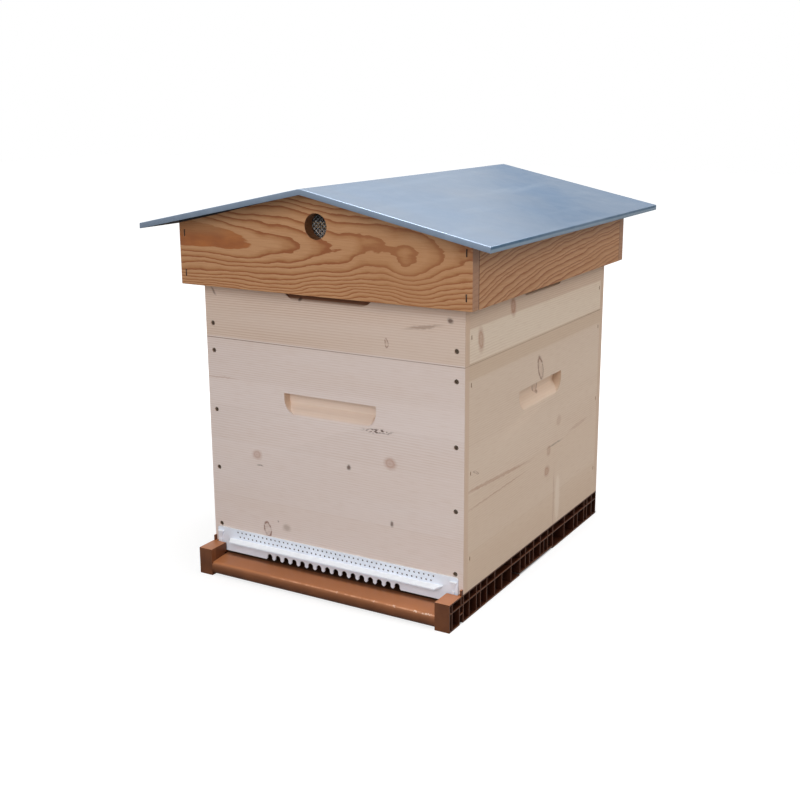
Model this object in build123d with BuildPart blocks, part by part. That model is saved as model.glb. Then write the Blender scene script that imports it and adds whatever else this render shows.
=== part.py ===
"""A ten-frame beehive: ribbed plastic floor, brood box, honey super, crown board and gabled sheet roof.

Millimetres, +Z up, origin on the ground under the middle of the hive. The entrance faces -Y.
"""

import os
from math import hypot, radians, tan

from build123d import *

# Boxes
box_width = 430.0
box_length = 500.0
wall = 25.0
brood_height = 320.0
super_height = 170.0
corner_lip = 13.0

# Finger pockets routed into every box wall
pocket_width = 155.0
pocket_height = 32.5
pocket_depth = 14.0
pocket_flat = 17.0
pocket_below_rim = 70.0
pocket_corner = 24.0

# Corner screws and brads
screw_shank = 4.0
screw_length = 45.0
screw_head = 7.0
screw_head_thickness = 2.5
screw_sink = 1.5
screw_gap = 0.2
screw_sides = 8
shank_sides = 6
brood_screw_count = 4
brood_screw_edge = 28.0
brood_screw_top = 20.0
super_screw_count = 2
super_screw_edge = 21.0
brad_width = 2.5
brad_height = 6.0
brad_length = 43.0
brad_sink = 1.5
brad_gap = 0.1
brood_brad_count = 3
brood_brad_edge = 46.5
brood_brad_top = 27.5
super_brad_count = 2
super_brad_edge = 37.5

# Hanging frames and what they hang on
rest_width = 12.0
rest_strip = 1.0
rest_strip_drop = 9.0
rest_end_gap = 0.5
frame_drop = 8.0
lug_thickness = 10.0
lug_end_gap = 2.0
bar_width = 25.0
bar_thickness = 20.0
bee_space = 7.5
side_bar = 9.0
bottom_bar_width = 20.0
bottom_bar_thickness = 10.0
brood_frame_pitch = 38.0
brood_frame_gap = 0.4
shoulder_height = 90.0
shoulder_taper = 25.0
super_frame_pitch = 42.0
brood_under_space = 12.0
super_under_space = 2.0
wax_groove = 2.0
wax_groove_depth = 6.0
wax_gap = 0.2
spacer_sheet = 1.0
spacer_drop = 20.0
spacer_tooth = 7.0
spacer_gap = 0.3

# Crown board
crown_thickness = 10.0

# Roof
roof_board = 18.0
roof_gap_sides = 4.0
roof_gap_ends = 6.0
roof_skirt = 90.0
roof_pitch = 11.9
sheet_thickness = 0.8
sheet_lip = 8.0
sheet_overhang_sides = 42.0
sheet_overhang_ends = 36.0
sheet_crown_gap = 2.0
ridge_batten_width = 30.0
ridge_batten_height = 20.0
cleat_length = 85.0
cleat_depth = 18.0
cleat_sheet_gap = 4.0
cleat_vent_gap = 8.0
vent_diameter = 35.0
vent_below_ridge = 52.0
mesh_margin = 4.0
mesh_pitch = 4.2
mesh_wire = 0.8
mesh_thickness = 0.8
staple_crown = 10.0
staple_leg = 30.0
staple_wire = 1.6
staple_gap = 0.1
staple_bottom_edge = 17.0
staple_top_edge = 23.0

# Floor moulding
floor_height = 41.0
floor_skin = 2.5
floor_rib = 2.0
foot_step = 3.0
foot_gap = 126.0
front_ribs = (13.0, 43.0, 62.0, 94.0, 150.0, 176.0, 196.0, 209.0, 231.0)
front_low_ribs = (27.0, 126.0)
back_ribs = (13.0, 42.0, 62.0, 110.0, 151.0, 196.0, 209.0, 230.0)
back_low_ribs = (27.0, 168.0)
rear_cell_pitch = 47.0
entrance_height = 16.5
deck_bay = 95.0
deck_slot_margin = 17.0
deck_slot_width = 6.0
deck_slot_pitch = 32.0
deck_slots_per_bay = 2
deck_rib_drop = 3.5
deck_skirt_foot = 6.0
block_width = 23.0
block_length = 35.0
block_rib = 8.0
door_slot = 5.0
slot_end = 6.0
notch_bar_top = 15.5
notch_step = 4.5
nose_lift = 1.0
nose_edge_radius = 6.0
nose_roll_radius = 10.0
landing_fall = 3.0
landing_rib_pitch = 48.0
post_width = 2.5
post_rise = 8.0

# Entrance door
door_foot_gap = 3.5
door_clear = 0.4
door_end_gap = 1.0
door_thickness = 2.2
door_above_floor = 24.0
door_corner = 3.5
arch_count = 16
arch_pitch = 14.8
arch_width = 9.0
arch_height = 9.0
tooth_chamfer = 2.0
vent_hole = 3.0
vent_hole_sides = 6
vent_hole_pitch = 7.72
vent_hole_margin = 38.0
vent_row_drop = 4.5
vent_row_step = 7.0
visor_end_gap = 7.5
visor_end_cut = 7.0
visor_reach = 12.5
visor_fall = 1.5
visor_thickness = 2.0
visor_above_floor = 8.3
tab_width = 11.0
tab_end_gap = 1.0
tab_reach = 3.0
tab_drop = 6.5
tab_height = 11.0
tab_tip = 1.0
guide_rib = 4.0
guide_rise = 3.5

# Places worked out from the sizes above
half_width = box_width / 2
half_length = box_length / 2
inner_width = box_width - 2 * wall
inner_length = box_length - 2 * wall
tongue = wall - corner_lip
deck_top = floor_height - entrance_height
floor_web_top = deck_top + door_foot_gap
brood_rim = floor_height + brood_height
super_rim = brood_rim + super_height
crown_top = super_rim + crown_thickness
rest_depth = frame_drop + lug_thickness + rest_strip
screw_x = half_width - wall / 2
brad_y = half_length - corner_lip - tongue / 2
block_back = half_length + door_slot
post_depth = door_slot - door_clear
landing_front = block_back + block_length

front_face = Plane(origin=(0, -half_length, 0), x_dir=(1, 0, 0), z_dir=(0, -1, 0))
back_face = Plane(origin=(0, half_length, 0), x_dir=(-1, 0, 0), z_dir=(0, 1, 0))
right_face = Plane(origin=(half_width, 0, 0), x_dir=(0, 1, 0), z_dir=(1, 0, 0))

os.makedirs("parts", exist_ok=True)


def save(piece, name):
    """Labels a finished piece and writes it to its own file."""
    piece.label = name
    export_step(piece, f"parts/{name}.step")


def mirrored(piece, plane):
    """The same piece on the other side of the hive."""
    with BuildPart() as other:
        mirror(piece, about=plane)
    return other.part


def spread(low, high, count):
    """Evenly spaced heights from low to high."""
    step = (high - low) / (count - 1)
    return [low + step * i for i in range(count)]


# Floor: a brown moulding whose sides are open ribbed cells under the box walls

low_band = (floor_rib, floor_web_top - floor_rib)
high_band = (floor_web_top, floor_height - floor_rib)
trough_length = box_length - wall
trough_middle = -wall / 2


def cell_bounds(ribs):
    """Front and back bounds of the open cells between ribs along a side of the floor."""
    inside = [y for y in ribs if abs(y) < half_length - 3 * floor_rib]
    centres = [-half_length + floor_rib / 2, *sorted(inside), half_length - floor_rib / 2]
    return [(a + floor_rib / 2, b - floor_rib / 2) for a, b in zip(centres, centres[1:])]


def cell(front, back, low, high):
    """One open cell, drawn on the side face of the floor."""
    with Locations(((front + back) / 2, (low + high) / 2)):
        Rectangle(back - front, high - low)


def floor_side():
    """The right-hand channel of the floor with its corner block, open on the outside."""
    high_ribs = [-y for y in front_ribs] + list(back_ribs)
    low_ribs = high_ribs + [-y for y in front_low_ribs] + list(back_low_ribs)
    notch_front = -block_back - notch_step
    front_cell = (-landing_front + floor_rib, -landing_front + block_rib - floor_rib / 2)
    back_cell = -landing_front + block_rib + floor_rib / 2
    with BuildPart() as side:
        with BuildSketch(Plane.XY):
            with Locations((half_width - wall / 2, 0)):
                Rectangle(wall, box_length)
            with Locations((half_width - block_width / 2, -block_back - block_length / 2)):
                Rectangle(block_width, block_length)
        extrude(amount=floor_height)
        # Cells between the ribs, above and below the web
        with BuildSketch(right_face):
            for front, back in cell_bounds(high_ribs):
                cell(front, back, *high_band)
            for front, back in cell_bounds(low_ribs):
                lift = foot_step if abs(front + back) < foot_gap else 0
                cell(front, back, low_band[0] + lift, low_band[1])
        extrude(amount=floor_skin - wall, mode=Mode.SUBTRACT)
        with BuildSketch(right_face):
            cell(*front_cell, *high_band)
            cell(*front_cell, *low_band)
            cell(back_cell, -block_back - floor_rib, *high_band)
            cell(back_cell, notch_front - floor_rib, *low_band)
        extrude(amount=floor_skin - block_width, mode=Mode.SUBTRACT)
        # The block is shorter below the web
        with BuildSketch(right_face):
            cell(notch_front, -block_back, 0, floor_web_top - floor_rib)
        extrude(amount=-block_width, mode=Mode.SUBTRACT)
        # The underside is raised between the front and back feet
        with BuildSketch(right_face):
            Rectangle(foot_gap, 2 * foot_step)
        extrude(amount=-wall, mode=Mode.SUBTRACT)
        # Web and notch bar carry the block across the slot of the entrance door
        with BuildSketch(right_face):
            cell(-block_back, -half_length, floor_web_top - floor_rib, floor_web_top)
            cell(notch_front, -half_length, notch_bar_top - floor_rib, notch_bar_top)
        extrude(amount=-block_width)
        # End of that slot, open on the outside like the cells, and the post on it that guides the door
        with BuildSketch(Plane.XY.offset(floor_web_top)):
            with Locations((half_width - slot_end / 2, -half_length - door_slot / 2)):
                Rectangle(slot_end, door_slot)
        extrude(amount=floor_height - floor_web_top)
        with BuildSketch(right_face):
            cell(-block_back, -half_length, *high_band)
        extrude(amount=floor_rib - slot_end, mode=Mode.SUBTRACT)
        with BuildSketch(Plane.XY.offset(floor_height)):
            with Locations((half_width - post_width / 2, -half_length - door_clear - post_depth / 2)):
                Rectangle(post_width, post_depth)
        extrude(amount=post_rise)
    return side.part


right_channel = floor_side()
deck_columns = int(inner_width // deck_bay)
deck_rows = int(trough_length // deck_bay)
rear_cells = int(inner_width // rear_cell_pitch)
landing_span = box_width - 2 * block_width
landing_ribs = int(landing_span // landing_rib_pitch)
nose_top = deck_top - landing_fall
edge_y = -landing_front + nose_edge_radius
edge_z = nose_top - nose_edge_radius
roll_y = -landing_front + nose_roll_radius
roll_z = nose_lift + nose_roll_radius

with BuildPart() as floor_base:
    add(right_channel)
    mirror(right_channel, about=Plane.YZ)
    # Rear rim with open cells
    with BuildSketch(Plane.XY):
        with Locations((0, half_length - wall / 2)):
            Rectangle(inner_width, wall)
    extrude(amount=floor_height)
    with BuildSketch(back_face):
        for low, high in (low_band, high_band):
            with Locations((0, (low + high) / 2)):
                with GridLocations(rear_cell_pitch, 1, rear_cells, 1):
                    Rectangle(rear_cell_pitch - floor_rib, high - low)
    extrude(amount=floor_skin - wall, mode=Mode.SUBTRACT)
    # Ventilated deck
    with BuildSketch(Plane.XY.offset(deck_top)):
        with Locations((0, trough_middle)):
            Rectangle(inner_width, trough_length)
            with GridLocations(deck_bay, deck_bay, deck_columns, deck_rows):
                with GridLocations(1, deck_slot_pitch, 1, deck_slots_per_bay):
                    Rectangle(deck_bay - 2 * deck_slot_margin, deck_slot_width, mode=Mode.SUBTRACT)
    extrude(amount=-floor_skin)
    # Ribs under the deck, and a skirt below its front edge
    with BuildSketch(Plane.XY.offset(deck_top - floor_skin)):
        for i in range(1, deck_columns):
            with Locations(((i - deck_columns / 2) * deck_bay, trough_middle)):
                Rectangle(floor_rib, trough_length)
        for i in range(1, deck_rows):
            with Locations((0, trough_middle + (i - deck_rows / 2) * deck_bay)):
                Rectangle(inner_width, floor_rib)
    extrude(amount=-deck_rib_drop)
    with BuildSketch(Plane.XY.offset(deck_skirt_foot)):
        with Locations((0, -half_length + floor_rib / 2)):
            Rectangle(inner_width, floor_rib)
    extrude(amount=deck_top - floor_skin - deck_skirt_foot)
    # Landing board with a nose that rolls under from a rounded edge, hollow underneath
    with BuildSketch(Plane.YZ):
        with BuildLine():
            Line((-half_length, deck_top - floor_skin), (-half_length, deck_top))
            Line((-half_length, deck_top), (edge_y, nose_top))
            CenterArc((edge_y, edge_z), nose_edge_radius, 90, 90)
            Line((-landing_front, edge_z), (-landing_front, roll_z))
            CenterArc((roll_y, roll_z), nose_roll_radius, 180, 90)
            Line((roll_y, nose_lift), (roll_y, nose_lift + floor_skin))
            CenterArc((roll_y, roll_z), nose_roll_radius - floor_skin, 270, -90)
            Line((-landing_front + floor_skin, roll_z), (-landing_front + floor_skin, edge_z))
            CenterArc((edge_y, edge_z), nose_edge_radius - floor_skin, 180, -90)
            Line((edge_y, nose_top - floor_skin), (-half_length, deck_top - floor_skin))
        make_face()
    extrude(amount=landing_span / 2, both=True)
    for i in range(landing_ribs):
        rib_x = (i - (landing_ribs - 1) / 2) * landing_rib_pitch
        with BuildSketch(Plane.YZ.offset(rib_x)):
            with BuildLine():
                Polyline(
                    (-half_length, nose_lift),
                    (-half_length, deck_top - floor_skin / 2),
                    (edge_y, nose_top - floor_skin / 2),
                    (roll_y, nose_lift),
                    close=True,
                )
            make_face()
        extrude(amount=floor_rib / 2, both=True)
save(floor_base.part, "floor_base")


# Entrance door: a white plate with bee arches, ventilation holes and a visor, standing on the floor's web

door_half = half_width - slot_end - door_end_gap
door_back = -half_length - door_clear
door_front = door_back - door_thickness
door_height = floor_height + door_above_floor - floor_web_top
door_plane = Plane(origin=(0, door_back, floor_web_top), x_dir=(1, 0, 0), z_dir=(0, -1, 0))
vent_holes = int(2 * (door_half - vent_hole_margin) // vent_hole_pitch) + 1
vent_row = door_height - vent_row_drop
visor_half = half_width - block_width - visor_end_gap
visor_top = floor_height + visor_above_floor
tab_x = door_half - tab_end_gap - tab_width / 2
tab_top = floor_web_top + door_height - tab_drop

with BuildPart() as entrance_door:
    # Visor over the arches, with its ends cut back at a slant
    with BuildSketch(Plane.YZ):
        with BuildLine():
            Polyline(
                (door_front, visor_top),
                (door_front - visor_reach, visor_top - visor_fall),
                (door_front - visor_reach, visor_top - visor_fall - visor_thickness),
                (door_front, visor_top - visor_thickness),
                close=True,
            )
        make_face()
    extrude(amount=visor_half, both=True)
    with BuildSketch(Plane.XY.offset(visor_top)):
        for side in (-1, 1):
            with BuildLine():
                Polyline(
                    (side * visor_half, door_front),
                    (side * visor_half, door_front - visor_reach),
                    (side * (visor_half - visor_end_cut), door_front - visor_reach),
                    close=True,
                )
            make_face()
    extrude(amount=-2 * (visor_fall + visor_thickness), mode=Mode.SUBTRACT)
    # Plate with arches along its foot
    with BuildSketch(door_plane) as plate:
        with Locations((0, door_height / 2)):
            Rectangle(2 * door_half, door_height)
        fillet(plate.vertices().group_by(Axis.Y)[-1], radius=door_corner)
        with GridLocations(arch_pitch, 1, arch_count, 1):
            with Locations((0, (arch_height - arch_width / 2) / 2)):
                Rectangle(arch_width, arch_height - arch_width / 2, mode=Mode.SUBTRACT)
            with Locations((0, arch_height - arch_width / 2)):
                Circle(arch_width / 2, mode=Mode.SUBTRACT)
        feet = plate.vertices().group_by(Axis.Y)[0].sort_by(Axis.X)[1:-1]
        chamfer(feet, length=min(tooth_chamfer, (arch_pitch - arch_width) / 3))
        for above, count in ((vent_row, vent_holes), (vent_row - vent_row_step, vent_holes - 1)):
            with Locations((0, above)):
                with GridLocations(vent_hole_pitch, 1, count, 1):
                    RegularPolygon(vent_hole / 2, vent_hole_sides, mode=Mode.SUBTRACT)
    extrude(amount=door_thickness)
    # Finger tabs that taper down the plate, and guide ribs behind the floor's corner blocks
    for side in (-1, 1):
        with BuildSketch(Plane.XY.offset(tab_top)):
            with Locations((side * tab_x, door_front - tab_reach / 2)):
                Rectangle(tab_width, tab_reach)
        with BuildSketch(Plane.XY.offset(tab_top - tab_height)):
            with Locations((side * tab_x, door_front - tab_tip / 2)):
                Rectangle(tab_tip, tab_tip)
        loft()
        with BuildSketch(Plane.XY.offset(floor_web_top)):
            with Locations((side * tab_x, (door_front - block_back + door_clear) / 2)):
                Rectangle(guide_rib, door_front + block_back - door_clear)
        extrude(amount=floor_height + guide_rise - floor_web_top)
save(entrance_door.part, "entrance_door")


# Box walls: front and back boards are rabbeted for the side boards, and every board has a finger pocket


def finger_pocket(face, top_z):
    """What a router takes out: square at its top, sloping out below, with round lower corners."""
    top = Plane(origin=face.origin + Vector(0, 0, top_z), x_dir=face.x_dir, z_dir=face.z_dir)
    section = Plane(origin=top.origin, x_dir=top.z_dir, z_dir=-top.x_dir)
    with BuildPart() as pocket:
        with BuildSketch(top) as outline:
            with Locations((0, -pocket_height / 2)):
                Rectangle(pocket_width, pocket_height)
            fillet(outline.vertices().group_by(Axis.Y)[0], radius=pocket_corner)
        extrude(amount=-pocket_depth)
        with BuildSketch(section):
            with BuildLine():
                Polyline(
                    (-pocket_depth, -pocket_flat),
                    (0, -pocket_height),
                    (-pocket_depth, -pocket_height),
                    close=True,
                )
            make_face()
        extrude(amount=pocket_width / 2, both=True, mode=Mode.SUBTRACT)
    return pocket.part


def end_wall(base, height, screw_heights, brad_heights):
    """The front board: rabbeted ends, a rebate for the frame lugs, a pocket and the fastener holes."""
    rim = base + height
    with BuildPart() as board:
        with BuildSketch(Plane.XY.offset(base)):
            with Locations((0, -half_length + wall / 2)):
                Rectangle(box_width, wall)
            with Locations((-screw_x, -brad_y), (screw_x, -brad_y)):
                Rectangle(wall, tongue, mode=Mode.SUBTRACT)
        extrude(amount=height)
        with BuildSketch(Plane.XY.offset(rim)):
            with Locations((0, -half_length + wall - rest_width / 2)):
                Rectangle(inner_width, rest_width)
        extrude(amount=-rest_depth, mode=Mode.SUBTRACT)
        add(finger_pocket(front_face, rim - pocket_below_rim), mode=Mode.SUBTRACT)
        screw_places = [(side * screw_x, z) for side in (-1, 1) for z in screw_heights]
        with BuildSketch(front_face):
            with Locations(*screw_places):
                RegularPolygon(screw_head / 2 + screw_gap, screw_sides)
        extrude(amount=-screw_sink - screw_head_thickness, mode=Mode.SUBTRACT)
        with BuildSketch(front_face):
            with Locations(*screw_places):
                RegularPolygon(screw_shank / 2 + screw_gap, shank_sides)
        extrude(amount=-corner_lip, mode=Mode.SUBTRACT)
        for side in (-1, 1):
            with BuildSketch(Plane.YZ.offset(side * inner_width / 2)):
                with Locations(*[(-brad_y, z) for z in brad_heights]):
                    Rectangle(brad_width + 2 * brad_gap, brad_height + 2 * brad_gap)
            extrude(amount=side * (wall - brad_sink - brad_length - brad_gap), mode=Mode.SUBTRACT)
    return board.part


def side_wall(base, height, screw_heights, brad_heights):
    """The right-hand board: square ends that seat in the rabbets, a pocket and the fastener holes."""
    seat = half_length - corner_lip
    with BuildPart() as board:
        with BuildSketch(Plane.XY.offset(base)):
            with Locations((screw_x, 0)):
                Rectangle(wall, 2 * seat)
        extrude(amount=height)
        add(finger_pocket(right_face, base + height - pocket_below_rim), mode=Mode.SUBTRACT)
        for end in (-1, 1):
            end_face = Plane(origin=(screw_x, end * seat, 0), x_dir=(-end, 0, 0), z_dir=(0, end, 0))
            with BuildSketch(end_face):
                with Locations(*[(0, z) for z in screw_heights]):
                    RegularPolygon(screw_shank / 2 + screw_gap, shank_sides)
            extrude(amount=corner_lip - screw_sink - screw_length - screw_gap, mode=Mode.SUBTRACT)
        with BuildSketch(right_face):
            with Locations(*[(end * brad_y, z) for end in (-1, 1) for z in brad_heights]):
                Rectangle(brad_width + 2 * brad_gap, brad_height + 2 * brad_gap)
        extrude(amount=-wall, mode=Mode.SUBTRACT)
    return board.part


def corner_screws(heights):
    """Screws through the lips of the front and back boards into the ends of the side boards."""
    points = [(side * screw_x, z) for side in (-1, 1) for z in heights]
    with BuildPart() as screws:
        for face in (front_face, back_face):
            with BuildSketch(face.offset(-screw_sink)):
                with Locations(*points):
                    RegularPolygon(screw_head / 2, screw_sides)
            extrude(amount=-screw_head_thickness)
            with BuildSketch(face.offset(-screw_sink - screw_head_thickness)):
                with Locations(*points):
                    RegularPolygon(screw_shank / 2, shank_sides)
            extrude(amount=screw_head_thickness - screw_length)
    return screws.part


def corner_brads(heights):
    """Brads through the side boards into the tongues of the front and back boards."""
    points = [(end * brad_y, z) for end in (-1, 1) for z in heights]
    with BuildPart() as brads:
        for side in (-1, 1):
            with BuildSketch(Plane.YZ.offset(side * (half_width - brad_sink))):
                with Locations(*points):
                    Rectangle(brad_width, brad_height)
            extrude(amount=-side * brad_length)
    return brads.part


def save_box(name, base, height, screw_heights, brad_heights):
    """Writes the four walls of a box and its corner fasteners."""
    front = end_wall(base, height, screw_heights, brad_heights)
    right = side_wall(base, height, screw_heights, brad_heights)
    save(front, f"{name}_front_wall")
    save(mirrored(front, Plane.XZ), f"{name}_back_wall")
    save(right, f"{name}_right_wall")
    save(mirrored(right, Plane.YZ), f"{name}_left_wall")
    save(corner_screws(screw_heights), f"{name}_corner_screws")
    save(corner_brads(brad_heights), f"{name}_corner_brads")


save_box(
    "brood",
    floor_height,
    brood_height,
    spread(floor_height + brood_screw_edge, brood_rim - brood_screw_top, brood_screw_count),
    spread(floor_height + brood_brad_edge, brood_rim - brood_brad_top, brood_brad_count),
)
save_box(
    "super",
    brood_rim,
    super_height,
    spread(brood_rim + super_screw_edge, super_rim - super_screw_edge, super_screw_count),
    spread(brood_rim + super_brad_edge, super_rim - super_brad_edge, super_brad_count),
)


# Frames: they hang by their lugs on a metal strip in the brood box and in a notched spacer in the super

frame_length = inner_length - 2 * bee_space
bar_span = frame_length - 2 * side_bar
lug_reach = inner_length / 2 + rest_width - lug_end_gap


def frame_bars(x, rim, frame_height, shoulder_width):
    """The four bars of a frame hanging at x: a lugged top bar, two side bars and a bottom bar."""
    top = rim - frame_drop
    side_top = top - lug_thickness
    bottom = top - frame_height
    shoulder = side_top - shoulder_height
    with BuildPart() as top_bar:
        with BuildSketch(Plane.YZ.offset(x)):
            with Locations((0, top - lug_thickness / 2)):
                Rectangle(2 * lug_reach, lug_thickness)
            with Locations((0, top - bar_thickness / 2)):
                Rectangle(bar_span, bar_thickness)
        extrude(amount=bar_width / 2, both=True)
        with BuildSketch(Plane.XY.offset(top - bar_thickness)):
            with Locations((x, 0)):
                Rectangle(wax_groove, bar_span)
        extrude(amount=wax_groove_depth, mode=Mode.SUBTRACT)
    with BuildPart() as bottom_bar:
        with BuildSketch(Plane.XY.offset(bottom)):
            with Locations((x, 0)):
                Rectangle(bottom_bar_width, bar_span)
        extrude(amount=bottom_bar_thickness)
    with BuildPart() as back_bar:
        with BuildSketch(Plane.XZ.offset(-frame_length / 2)):
            with Locations((x, (side_top + bottom) / 2)):
                Rectangle(bar_width, side_top - bottom)
            if shoulder_width > bar_width:
                with BuildLine():
                    Polyline(
                        (x - shoulder_width / 2, side_top),
                        (x - shoulder_width / 2, shoulder),
                        (x - bar_width / 2, shoulder - shoulder_taper),
                        (x + bar_width / 2, shoulder - shoulder_taper),
                        (x + shoulder_width / 2, shoulder),
                        (x + shoulder_width / 2, side_top),
                        close=True,
                    )
                make_face()
        extrude(amount=side_bar)
    front_bar = mirrored(back_bar.part, Plane.XZ)
    return [top_bar.part, bottom_bar.part, back_bar.part, front_bar]


def wax_sheet(x, rim, frame_height):
    """The wax foundation of a frame, held in the top bar's groove and standing on the bottom bar."""
    top = rim - frame_drop - bar_thickness + wax_groove_depth
    bottom = rim - frame_drop - frame_height + bottom_bar_thickness
    with BuildPart() as sheet:
        with BuildSketch(Plane.XY.offset(bottom)):
            with Locations((x, 0)):
                Rectangle(wax_groove - 2 * wax_gap, bar_span - 2 * wax_gap)
        extrude(amount=top - bottom)
    return sheet.part


def frame_places(pitch):
    """Places across the box of as many frames as it holds at this pitch."""
    count = int(inner_width // pitch)
    return [(i - (count - 1) / 2) * pitch for i in range(count)]


def save_frames(name, rim, frame_height, pitch, shoulder_width):
    """Writes each frame of a box, and its wax sheets as one group."""
    sheets = []
    for number, x in enumerate(frame_places(pitch), start=1):
        bars = frame_bars(x, rim, frame_height, shoulder_width)
        save(Compound([bar.solid() for bar in bars]), f"{name}_frame_{number:02d}")
        sheets.append(wax_sheet(x, rim, frame_height).solid())
    save(Compound(sheets), f"{name}_wax_sheets")


brood_frame_height = brood_height - frame_drop - brood_under_space
super_frame_height = super_height - frame_drop - super_under_space
save_frames("brood", brood_rim, brood_frame_height, brood_frame_pitch, brood_frame_pitch - brood_frame_gap)
save_frames("super", super_rim, super_frame_height, super_frame_pitch, bar_width)

with BuildPart() as front_rest_strip:
    wall_inside = -half_length + wall
    lug_seat = brood_rim - frame_drop - lug_thickness
    with BuildSketch(Plane.YZ):
        with Locations((wall_inside + (rest_strip - rest_width) / 2, lug_seat - rest_strip / 2)):
            Rectangle(rest_width + rest_strip, rest_strip)
        with Locations((wall_inside + rest_strip / 2, lug_seat - rest_strip_drop / 2)):
            Rectangle(rest_strip, rest_strip_drop)
    extrude(amount=inner_width / 2 - rest_end_gap, both=True)
save(front_rest_strip.part, "brood_front_rest_strip")
save(mirrored(front_rest_strip.part, Plane.XZ), "brood_back_rest_strip")

with BuildPart() as front_spacer:
    notch_floor = super_rim - frame_drop - lug_thickness
    with BuildSketch(Plane.XZ.offset(half_length - wall)):
        with Locations((0, notch_floor + (spacer_tooth - spacer_drop) / 2)):
            Rectangle(inner_width - 2 * rest_end_gap, spacer_tooth + spacer_drop)
        with Locations(*[(x, notch_floor + spacer_tooth / 2) for x in frame_places(super_frame_pitch)]):
            Rectangle(bar_width + 2 * spacer_gap, spacer_tooth, mode=Mode.SUBTRACT)
    extrude(amount=-spacer_sheet)
save(front_spacer.part, "super_front_spacer")
save(mirrored(front_spacer.part, Plane.XZ), "super_back_spacer")


# Crown board: a plain wooden board that closes the super under the roof

with BuildPart() as crown_board:
    with BuildSketch(Plane.XY.offset(super_rim)):
        Rectangle(box_width, box_length)
    extrude(amount=crown_thickness)
save(crown_board.part, "crown_board")


# Roof: gables that overlap the side boards, cleats that stand on the crown board, and a folded sheet on top

slope = tan(radians(roof_pitch))
roof_bottom = super_rim - roof_skirt
roof_half_width = half_width + roof_gap_sides + roof_board
roof_half_length = half_length + roof_gap_ends + roof_board
gable_inside = roof_half_length - roof_board
ridge_under = crown_top + sheet_crown_gap + slope * half_width
vent_z = ridge_under - vent_below_ridge
staple_x = roof_half_width - roof_board / 2


def sheet_under(x):
    """Height of the sheet's underside at a distance x from the ridge."""
    return ridge_under - slope * abs(x)


def roof_staples(gap):
    """The staples of all four corners, made larger by a gap when they are taken out of the wood."""
    leg_middle = roof_half_length - staple_leg / 2
    between_legs = staple_crown - 2 * staple_wire - 2 * gap
    heights = (roof_bottom + staple_bottom_edge, sheet_under(roof_half_width) - staple_top_edge)
    with BuildPart() as staples:
        for x in (-staple_x, staple_x):
            with BuildSketch(Plane.YZ.offset(x)):
                with Locations(*[(end * leg_middle, z) for end in (-1, 1) for z in heights]):
                    Rectangle(staple_leg + 2 * gap, staple_crown + 2 * gap)
                with Locations(*[(end * (leg_middle - staple_wire), z) for end in (-1, 1) for z in heights]):
                    Rectangle(staple_leg, between_legs, mode=Mode.SUBTRACT)
            extrude(amount=staple_wire / 2 + gap, both=True)
    return staples.part


staple_slots = roof_staples(staple_gap)
save(roof_staples(0), "roof_staples")

with BuildPart() as front_gable:
    with BuildSketch(Plane.XZ.offset(gable_inside)):
        with BuildLine():
            Polyline(
                (-roof_half_width, roof_bottom),
                (roof_half_width, roof_bottom),
                (roof_half_width, sheet_under(roof_half_width)),
                (0, ridge_under),
                (-roof_half_width, sheet_under(roof_half_width)),
                close=True,
            )
        make_face()
        with Locations((0, vent_z)):
            Circle(vent_diameter / 2, mode=Mode.SUBTRACT)
    extrude(amount=roof_board)
    add(staple_slots, mode=Mode.SUBTRACT)
save(front_gable.part, "roof_front_gable")
save(mirrored(front_gable.part, Plane.XZ), "roof_back_gable")

with BuildPart() as right_board:
    inside = roof_half_width - roof_board
    with BuildSketch(Plane.XZ):
        with BuildLine():
            Polyline(
                (inside, roof_bottom),
                (roof_half_width, roof_bottom),
                (roof_half_width, sheet_under(roof_half_width)),
                (inside, sheet_under(inside)),
                close=True,
            )
        make_face()
    extrude(amount=gable_inside, both=True)
    add(staple_slots, mode=Mode.SUBTRACT)
save(right_board.part, "roof_right_board")
save(mirrored(right_board.part, Plane.YZ), "roof_left_board")

with BuildPart() as ridge_batten:
    with BuildSketch(Plane.XZ):
        with BuildLine():
            Polyline(
                (0, ridge_under),
                (ridge_batten_width / 2, sheet_under(ridge_batten_width / 2)),
                (ridge_batten_width / 2, ridge_under - ridge_batten_height),
                (-ridge_batten_width / 2, ridge_under - ridge_batten_height),
                (-ridge_batten_width / 2, sheet_under(ridge_batten_width / 2)),
                close=True,
            )
        make_face()
    extrude(amount=gable_inside, both=True)
save(ridge_batten.part, "roof_ridge_batten")

with BuildPart() as front_right_cleat:
    cleat_start = vent_diameter / 2 + mesh_margin + cleat_vent_gap
    cleat_top = sheet_under(cleat_start + cleat_length) - cleat_sheet_gap
    with BuildSketch(Plane.XY.offset(crown_top)):
        with Locations((cleat_start + cleat_length / 2, -gable_inside + cleat_depth / 2)):
            Rectangle(cleat_length, cleat_depth)
    extrude(amount=cleat_top - crown_top)
back_right_cleat = mirrored(front_right_cleat.part, Plane.XZ)
save(front_right_cleat.part, "roof_front_right_cleat")
save(mirrored(front_right_cleat.part, Plane.YZ), "roof_front_left_cleat")
save(back_right_cleat, "roof_back_right_cleat")
save(mirrored(back_right_cleat, Plane.YZ), "roof_back_left_cleat")

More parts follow.
